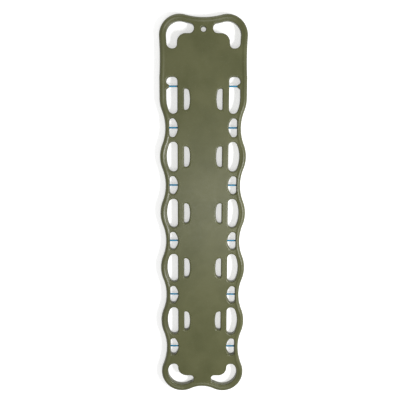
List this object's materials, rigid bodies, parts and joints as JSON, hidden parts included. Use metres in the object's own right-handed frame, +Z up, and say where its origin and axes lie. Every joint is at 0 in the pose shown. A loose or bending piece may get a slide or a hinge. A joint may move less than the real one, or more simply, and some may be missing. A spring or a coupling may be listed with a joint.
{
  "type": "spine board",
  "caption": "Long flat rescue board with waved sides, hand holes all round, strap slots and pins, and two runners below.",
  "frame": {"origin": "on the surface the board rests on, below the middle of its outline", "axes": "+Y towards the head end, +X to the right seen from above with the head end up, +Z up out of the deck"},
  "size_m": [0.4064, 1.8288, 0.0508],
  "materials": {
    "shell": "satin rotomoulded polyethylene",
    "foam": "closed-cell polyurethane foam",
    "pin": "smooth glass-filled nylon",
    "plug": "matt polyethylene"
  },
  "bodies": {
    "root": {"board_shell": "shell", "foam_core": "foam", "strap_pin_left_1": "pin", "strap_pin_left_2": "pin", "strap_pin_left_3": "pin", "strap_pin_left_4": "pin", "strap_pin_left_5": "pin", "strap_pin_left_6": "pin", "strap_pin_right_1": "pin", "strap_pin_right_2": "pin", "strap_pin_right_3": "pin", "strap_pin_right_4": "pin", "strap_pin_right_5": "pin", "strap_pin_right_6": "pin", "foam_plug_head": "plug", "foam_plug_foot": "plug"}
  },
  "joints": []
}
